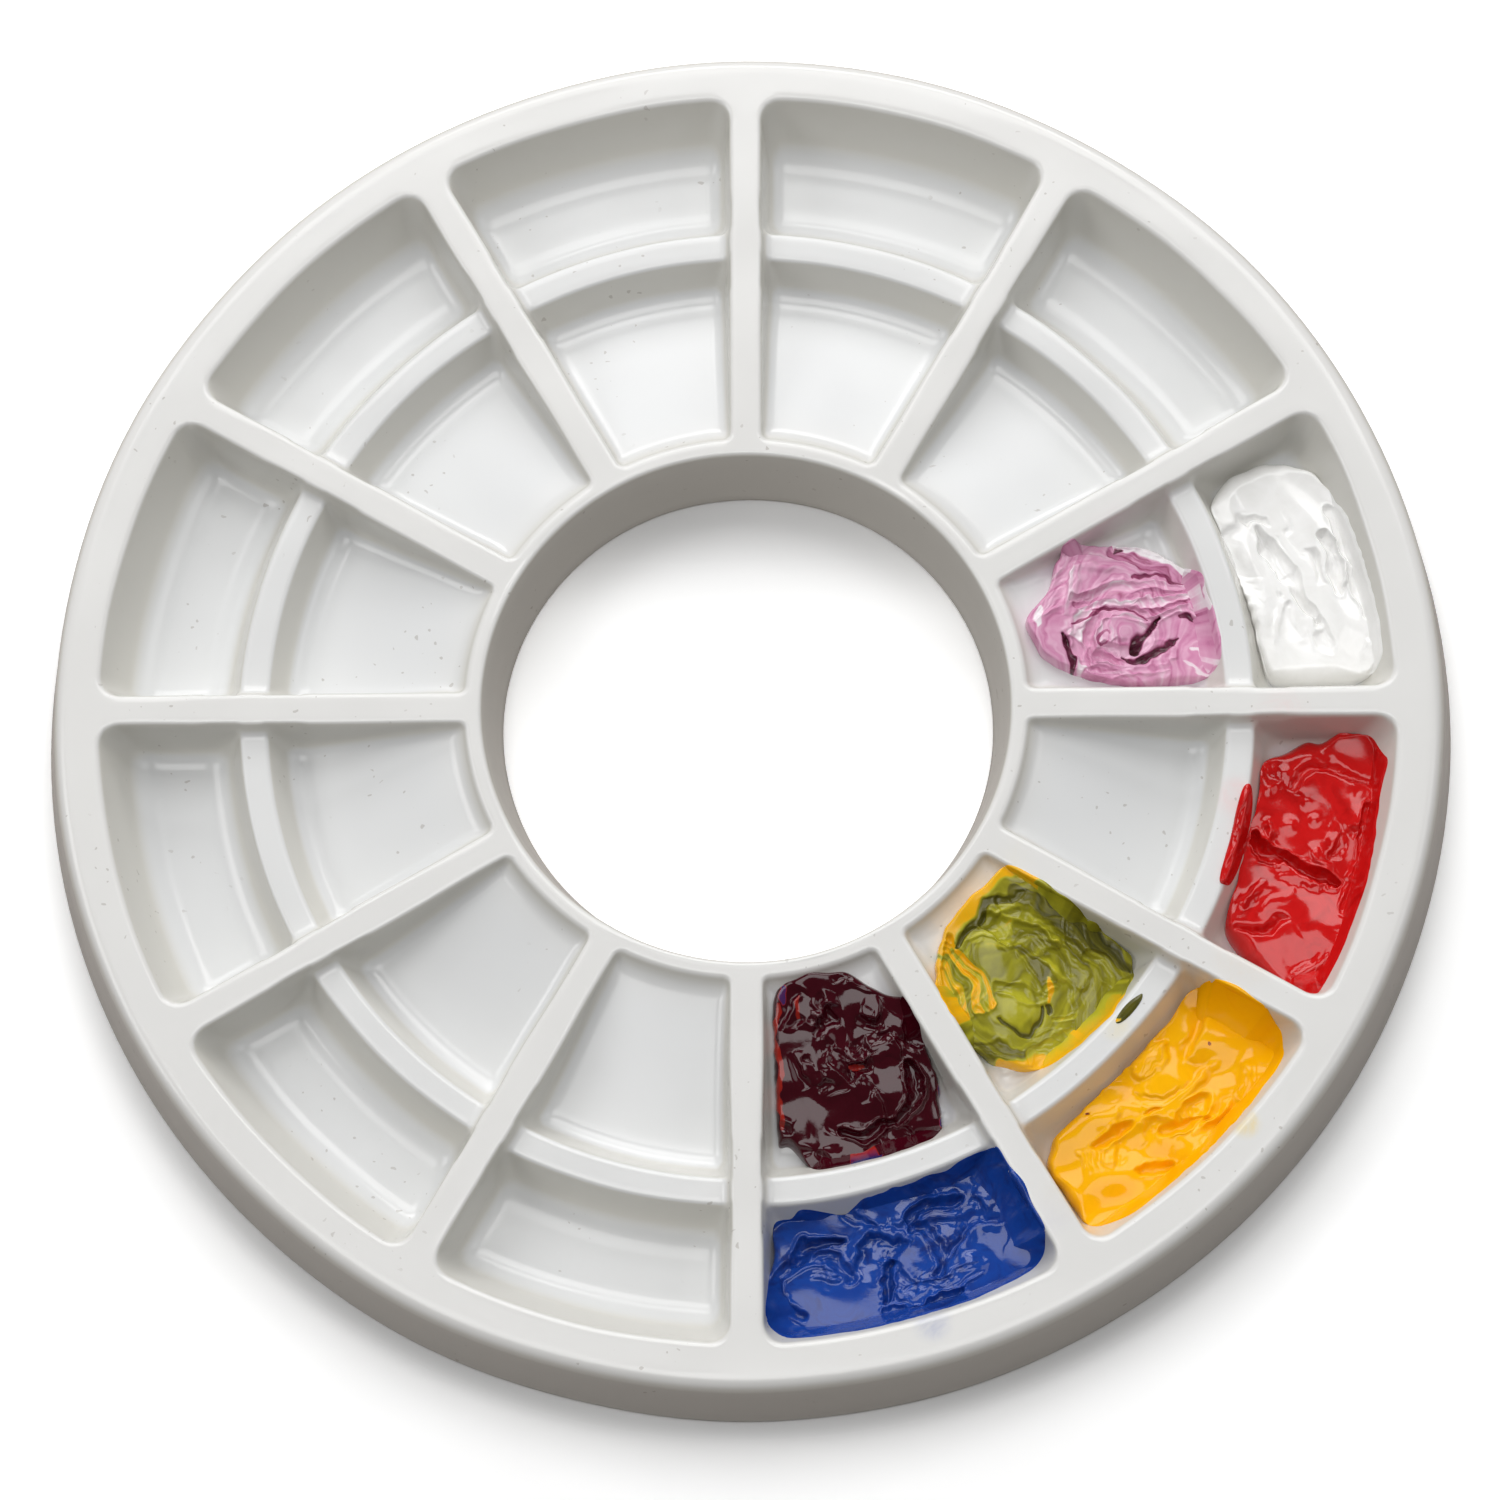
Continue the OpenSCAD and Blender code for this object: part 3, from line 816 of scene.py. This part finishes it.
def make_yellow():
    """Yellow, in smooth broad folds, with two specks of maroon."""
    p = Pile([(94, 327), (97.5, 328.4), (102.5, 328.8), (108, 328.4), (111.5, 328), (113.8, 326.8), (114.9, 325),
              (115.1, 322), (115.1, 319), (115.1, 315), (115, 310), (114.9, 306), (113.5, 304), (110.5, 302.6),
              (105, 302.5), (98.8, 302.5), (95.8, 304), (94.5, 305.7), (93.7, 310.5), (93.6, 315.3), (93.6, 318.7),
              (93.8, 323)],
             (104.5, 315.5), flat_level(8.8, 31, 0.6), 32, rim=3.2)
    p.random_folds(7, (9, 18), (0.4, 0.9), (2.5, 5.0), along(30), 0.8, bend=0.12)
    p.furrow(line((96, 316), (96.2, 318), (96, 320.7)), 1.4, 0.5, 0.3)
    p.ridge(line((102.5, 311.5), (104, 315), (105, 319.5), (104.5, 321.5)), 0.9, 1.2, 1.6)
    p.furrow(line((106.8, 313.5), (107.6, 316), (107.8, 318.5)), 1.9, -0.9, 0.3)
    p.furrow(line((100.2, 307.6), (101, 309.5), (101.2, 311.4)), 1.6, -0.8, 0.3)
    p.furrow(line((109.3, 309.5), (110, 310.5), (111, 312)), 1.5, -0.8, 0.3)
    p.ridge(line((110.4, 316), (111.2, 317.8), (111.5, 319.6)), 0.8, 1.0, 1.6)
    for k in range(4):
        p.ridge(line((99.8, 305.4 + 0.7 * k), (101.5, 305.6 + 0.7 * k), (103.4, 305.3 + 0.7 * k)), 0.3, 0.45)
    p.furrow(line((110, 323.6), (112, 322.6), (113.6, 320.6)), 1.7, 0.5, 0.25)
    p.fold(line((97, 326), (99.5, 324), (101, 321)), 0.9, 2.5, 0.7)
    p.relax(6, 1.5)
    for at in ((102.5, 323), (95, 309.5)):
        p.stain(oval(at, 0.25, 0.25, 0, 300), 0.3, 1.0)
    p.build("yellow_dab", wet_paint("yellow_oil", [(0.97, 0.47, 0.002), (0.90, 0.36, 0.002), (0.20, 0.03, 0.01)],
                                    mixed=0.9, shine=0.3), "yellow_paint")


def make_blue():
    """Blue, filling its well, with brushed scoops, a ribbed patch and a long slit."""
    p = Pile([(93.5, 272.9), (92.7, 274.8), (91.9, 276), (92.6, 278.8), (93, 280.7), (91.9, 282.6), (91.6, 285.4),
              (91.4, 288.2), (91.4, 290.8), (91.6, 292.6), (91.3, 294), (91.2, 295.4), (91.4, 297.2), (92.4, 298.3),
              (95, 298.6), (101, 298.8), (107.5, 298.7), (110, 298.4), (112.4, 297.5), (114, 295.3), (114.9, 291.7),
              (115.1, 288.7), (115.3, 282.5), (115.2, 278.2), (115.1, 275.7), (114.8, 273.7), (113.3, 272.4),
              (111, 271.8), (105.6, 271.9), (99.5, 272.5)],
             (104.5, 285.5), flat_level(8.8, 41, 0.5), 42, rim=3.0)
    p.random_folds(8, (6, 13), (0.3, 0.7), (1.3, 3.0), along(-15), 1.0)
    p.furrow(line((100.5, 274.6), (98, 276), (97.4, 277.6), (97.8, 279.6)), 1.6, -1.7, 0.4)
    p.fold(line((101.6, 285.8), (99.6, 285.2), (98.6, 283.8), (99, 282.2), (101.5, 280.8), (103.6, 280)),
           -1.3, 3.2, -0.6)
    p.furrow(line((103.2, 284.5), (105, 283.9), (107.4, 283.2), (110.6, 282.5)), 0.9, -1.5, 0.35)
    p.furrow(line((97.4, 287.2), (95.8, 289), (95.6, 290.6), (96.6, 292.2)), 1.5, -1.6, 0.4)
    p.fold(line((104.4, 296.4), (101.8, 294.4), (101.5, 292.8), (103.4, 291), (106.4, 289.8), (108.8, 288.2)),
           1.1, 3.0, 0.9)
    p.mound((107.5, 291.3), 1.2, 0.9)
    p.furrow(oval((105.5, 276.4), 5.5, 6.5, 100, 330), 1.5, -0.8, 0.35)
    for k in range(5):
        p.ridge(line((100.6 + 0.95 * k, 276), (100.4 + 0.95 * k, 277.3), (100.7 + 0.95 * k, 278.7)), 0.28, 0.5)
    p.furrow(line((109.5, 283.9), (110.2, 286.6), (110, 289.8), (109, 292)), 1.3, 0.4, 0.35)
    p.furrow(line((112, 282.6), (112.6, 286), (112, 289.6)), 1.2, -0.5, 0.35)
    p.fold(line((97, 293.6), (98.6, 294.6), (100.4, 295)), 0.8, 2.0, 0.4)
    p.furrow(oval((103.5, 287.3), 5.0, 3.2, 20, 200), 1.2, -0.7, 0.35)
    p.relax(3, 1.4)
    p.build("blue_dab", wet_paint("blue_oil", [(0.012, 0.030, 0.18), (0.010, 0.058, 0.33), (0.012, 0.045, 0.27)]),
            "blue_paint")


PINK = [(0.040, 0.002, 0.008), (0.32, 0.06, 0.15), (0.62, 0.25, 0.42), (0.74, 0.42, 0.57), (0.88, 0.84, 0.86)]


def make_pink():
    """Pink stirred round a place near its foot, with white at its edges and slits of maroon."""
    p = Pile([(52.8, 17.5), (53.2, 12), (54, 9.5), (57, 7.5), (60, 6), (63, 5), (70, 3.9), (75, 4.1), (81.5, 4.6),
              (84.6, 5.2), (86.2, 7), (86.3, 11), (85.8, 14.7), (85.8, 17), (84, 19), (80, 23), (75, 25), (70, 26.5),
              (66, 27.6), (62.5, 26.3), (58, 21.5)],
             (70, 15), sloped_level(3.2, 51, 0.25), 52, rim=2.2, thick=4.5)
    p.tint += 0.6
    p.random_furrows(12, (10, 20), (1.2, 2.6), 0.3, 0.25, swirl((70, 12)), 0.2, tints=(0.42, 0.55, 0.62, 0.7, 0.85))
    for k in range(5):
        p.furrow(line((62 + k, 19.5 - 1.1 * k), (72, 18.6 - 1.1 * k), (84, 16.8 - 0.9 * k)), 0.9, -0.3, 0.2,
                 tint=(0.7, 0.5, 0.78, 0.42, 0.66)[k])
    p.streaks((69.5, 11.5), 2.6, 0.085, 0.035)
    p.fold(line((66, 23.8), (63.6, 24.2), (61.6, 21.6), (60.2, 17)), 0.9, 1.6, 0.5, tint=0.85)
    p.ridge(line((66, 23.5), (69, 22.7), (72, 21.5)), 0.7, 0.8)
    p.furrow(oval((69.5, 11.5), 7.0, 5.0, 20, 250), 1.2, -0.5, 0.3, tint=0.62)
    p.furrow(oval((69.5, 11.5), 4.6, 3.2, 200, 400), 1.0, -0.4, 0.3, tint=0.75)
    p.mound((68, 11.3), 2.6, 0.7)
    p.fold(line((74.5, 13.6), (71, 15.2), (66.5, 15.8), (61, 14.6)), 0.6, 1.8, 0.5)
    p.stain(line((61, 15), (66.5, 16), (71, 15.5), (74, 14)), 0.55, 0.2)
    p.stain(oval((65.5, 11.5), 1.2, 1.0, 30, 300), 0.4, 0.3)
    p.stain(line((74, 19.6), (78, 19.3), (81, 18), (83, 17.3)), 0.5, 0.18, depth=-0.3)
    p.stain(line((58.3, 13.2), (58.5, 10), (59, 7.5)), 0.8, 0.04, depth=-0.6)
    p.stain(line((71, 9), (72.5, 10.8), (74.5, 12.5), (76.2, 13.5), (77, 13.8)), 0.95, 0.0, depth=-0.8)
    p.stain(line((69, 8.3), (70, 7.7), (72.5, 8), (75.5, 8.7), (78.7, 10)), 0.7, 0.05, depth=-0.5)
    p.stain(line((80, 12.5), (81.5, 12.7), (83, 12.4)), 0.5, 0.1, depth=-0.3)
    p.stain(line((74, 25.4), (78, 23.6), (81.5, 21.2), (84.3, 18.6)), 1.5, 1.0)
    p.stain(line((55.3, 19), (54.6, 17), (54.9, 15)), 1.3, 1.0)
    p.stain(line((85.6, 15.6), (86, 14.6), (85.6, 13.4)), 1.1, 1.0)
    p.stain(line((82, 8.6), (84, 7), (85.8, 6)), 0.7, 0.95)
    p.stain(line((80, 6.4), (82.4, 5.8), (84.4, 5.6)), 0.5, 0.9)
    p.stain(line((73.4, 24.6), (74.2, 24.8), (75, 24.4)), 0.45, 0.05)
    p.relax(2, 0.95)
    p.build("pink_dab", wet_paint("pink_oil", PINK, rough=0.2, mixed=0.35, shine=0.4), "pink_mix")


OLIVE = [(0.055, 0.052, 0.006), (0.15, 0.135, 0.010), (0.30, 0.28, 0.016), (0.48, 0.45, 0.028), (0.90, 0.46, 0.006)]


def make_olive():
    """Olive stirred into yellow, with a dark band above, a thumb-shaped middle and a yellow rim."""
    p = Pile([(56.5, 327.6), (54.5, 325.8), (53.6, 320.5), (53.3, 317), (53.7, 312.5), (55.5, 308), (59.5, 304.2),
              (63, 302.6), (67.5, 302.4), (72.5, 302.7), (77.5, 304), (83.3, 308), (84.8, 310.5), (85.5, 314),
              (85.9, 317.5), (85.8, 320.3), (85, 322.5), (84.2, 324.6), (82.5, 326.4), (80, 327), (73, 327.3),
              (66, 327.6), (60.5, 328)],
             (69.5, 315), sloped_level(3.0, 61, 0.25), 62, rim=2.2, thick=4.5)
    p.tint += 0.5
    p.random_furrows(9, (9, 18), (1.3, 2.6), 0.3, 0.25, swirl((69, 315)), 0.25, tints=(0.3, 0.45, 0.55, 0.65))
    p.random_furrows(7, (4, 8), (0.5, 1.2), 0.25, 0.2, swirl((69, 315)), 0.5, tints=(0.35, 0.5, 0.7))
    for k, tint in enumerate((1.0, 0.7, 1.0, 0.5, 0.9, 0.6)):
        p.furrow(line((56 + 0.8 * k, 310.5 - k), (63, 309.4 - 0.95 * k), (70, 308.6 - 0.9 * k)), 1.0, -0.3, 0.2,
                 tint=tint)
    p.furrow(line((58, 316), (65, 319.5), (75, 320.5), (82, 318), (84, 314)), 2.3, -0.5, 0.35, tint=0.42)
    p.stain(line((60, 313.5), (61.4, 316), (61, 319.6)), 2.6, 0.68)
    p.stain(line((59, 324.2), (64, 325), (70, 325.4), (78, 325.6), (84.4, 325.6)), 2.2, 0.14)
    p.streaks((72, 312.5), 3.0, 0.07, 0.035)
    p.fold(line((60, 322.4), (64, 323.4), (70, 323.8), (78, 323.6)), 0.7, 2.0, 0.6)
    p.stain(line((58, 311), (56.5, 316), (57, 320), (60.5, 324.5)), 1.0, 0.12, depth=-0.4)
    p.ridge(oval((63.5, 316.7), 1.5, 1.2, 20, 300), 0.4, 0.6)
    p.fold(line((75.4, 319), (72, 319.4), (69, 319)), 0.6, 1.5, 0.5, tint=0.75)
    p.stain(line((73, 317.5), (75, 316.3), (76, 314.5)), 0.6, 1.0)
    p.mound((73.3, 311), 3.2, 0.8)
    p.stain(oval((73.3, 311), 1.6, 1.2, 0, 360), 2.6, 0.72, soft=0.5)
    p.stain(oval((73.3, 311), 4.2, 3.6, 250, 420), 0.6, 0.12, depth=-0.4)
    p.stain(line((76, 314), (76.6, 314.2), (77, 313.8)), 0.8, 0.1, depth=-0.3)
    for path in (((60, 328), (56, 327.4), (54.2, 323), (53.8, 318), (54.2, 313), (57, 307.4)),
                 ((85.6, 311), (86, 317), (85.4, 323)), ((79, 304.6), (82.6, 307.4), (85, 311)),
                 ((58.6, 305), (64, 303), (71, 303))):
        p.stain(line(*path), 2.6, 1.0, soft=0.4)
    p.relax(3, 0.95)
    p.build("olive_dab", wet_paint("olive_oil", OLIVE, rough=0.18, mixed=0.3, shine=0.4), "olive_mix")


MAROON = [(0.012, 0.001, 0.002), (0.042, 0.0012, 0.005), (0.060, 0.002, 0.008), (0.34, 0.018, 0.010),
          (0.02, 0.02, 0.12)]


def make_maroon():
    """Dark maroon, broken into many small glossy facets, with red and blue showing at its edges."""
    p = Pile([(53.2, 275.3), (52, 277), (51.5, 278.9), (51.1, 282), (51.2, 285.5), (52.3, 289), (54, 291.4),
              (56, 293), (58, 294.7), (59.2, 296), (60.2, 297), (61.5, 297.3), (67.5, 297.2), (73, 296.8),
              (77, 296.4), (78.5, 295.8), (82, 294.9), (84, 294), (85.2, 292.6), (85.3, 290.5), (85.4, 287),
              (85.3, 284), (85.3, 281), (85, 278.6), (83.3, 277.3), (81, 276.3), (79.4, 275.2), (79.3, 274),
              (77.5, 274), (74, 273.9), (65, 274.2), (58, 274.6)],
             (68.5, 285), sloped_level(3.4, 71, 0.3), 72, rim=2.4, thick=5.0)
    p.tint += 0.3
    p.random_folds(8, (6, 12), (0.3, 0.8), (1.2, 2.8), swirl((69, 284)), 0.8)
    p.random_folds(34, (2, 5), (0.2, 0.5), (0.4, 1.1), along(-60), 0.9)
    p.furrow(line((55, 289.6), (56, 293), (58.2, 296.4)), 1.5, 0.5, 0.3)
    p.fold(line((61.4, 280), (59.6, 282.4), (58.4, 284.6), (58.3, 287)), 0.9, 1.6, 0.7)
    p.fold(line((60, 289), (61.3, 291), (61.6, 293)), 0.8, 1.6, 0.7)
    p.fold(line((68, 284.6), (69, 287), (68.2, 289)), 1.0, 2.6, 1.0)
    p.stain(line((68.6, 284.8), (69.4, 286.4), (69.4, 287.4)), 0.6, 0.75)
    for at, size in (((68, 290.5), 2.0), ((71.6, 287), 2.2), ((75.7, 287.6), 2.6), ((80.6, 290.6), 2.4),
                     ((83.2, 280.8), 2.0), ((68.4, 283), 1.6), ((71.2, 281.4), 1.8), ((62.8, 282.6), 1.5)):
        p.mound(at, size, 0.55)
    p.furrow(line((70.8, 294), (74, 293.4), (77.6, 292), (80, 289.6)), 1.8, -1.3, 0.4)
    p.furrow(line((79.3, 282), (80.2, 285.4), (79.4, 289)), 1.2, -1.0, 0.35)
    p.stain(line((55, 275.4), (62, 274.7), (70, 274.4), (77, 274.6)), 0.9, 0.72)
    p.stain(line((54, 279.4), (56.4, 278.6), (58.6, 278.4)), 0.45, 0.72)
    p.stain(line((84.8, 282.6), (84.9, 284.4), (84.8, 286)), 0.8, 1.0)
    p.stain(line((77, 296), (80.4, 295.2), (83, 294.4)), 0.7, 0.98)
    p.stain(line((52.6, 277.4), (53.6, 276.6), (55, 276.4)), 0.8, 0.98)
    p.relax(2, 1.25)
    p.build("maroon_dab", wet_paint("maroon_oil", MAROON, rough=0.07, mixed=0.25), "maroon_mix")


def make_smears():
    """The long red smear on the divider's outer edge, and the olive fleck on the divider."""
    p = Pile([(90.0, 339.4), (89.7, 344), (89.6, 348), (90.2, 350.4), (91.6, 350.6), (92.4, 348), (92.6, 343),
              (92.2, 339.6), (91, 338.7)], (91, 344.8),
             lambda x, y: DIVIDER_Z + 0.9 + 0.1 * waves(x, y, 8, 3, 9), 81, rim=1.2, thick=1.3, around=420, across=40,
             ragged=0.004)
    p.ridge(line((90.6, 339.8), (90.4, 345), (90.6, 350)), 0.5, 0.5)
    p.build("red_smear_dab", wet_paint("red_smear_oil", RED), "red_smear")
    p = Pile([(87.2, 318.6), (86.9, 320), (87.1, 321.4), (87.9, 322.8), (88.6, 322.0), (88.7, 320), (88.3, 318.6),
              (87.7, 318.2)], (87.8, 320.3),
             lambda x, y: DIVIDER_Z + 0.42 + 0.08 * waves(x, y, 9, 2, 6), 91, rim=0.7, thick=0.5, around=240, across=24,
             ragged=0.004)
    p.tint += 0.08
    p.stain(line((87, 318.7), (87.6, 318.4), (88.4, 318.8)), 0.5, 1.0)
    p.build("olive_fleck_dab", wet_paint("olive_fleck_oil", OLIVE, rough=0.12, mixed=0.3),
            "olive_fleck")


build_camera()
build_stage()
build_lights()
glaze = porcelain()
ring = build_body(glaze)
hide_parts("palette_body")
for make in (make_white, make_pink, make_red, make_yellow, make_olive, make_maroon, make_blue, make_smears):
    make()

bpy.context.scene.view_settings.view_transform = "Standard"
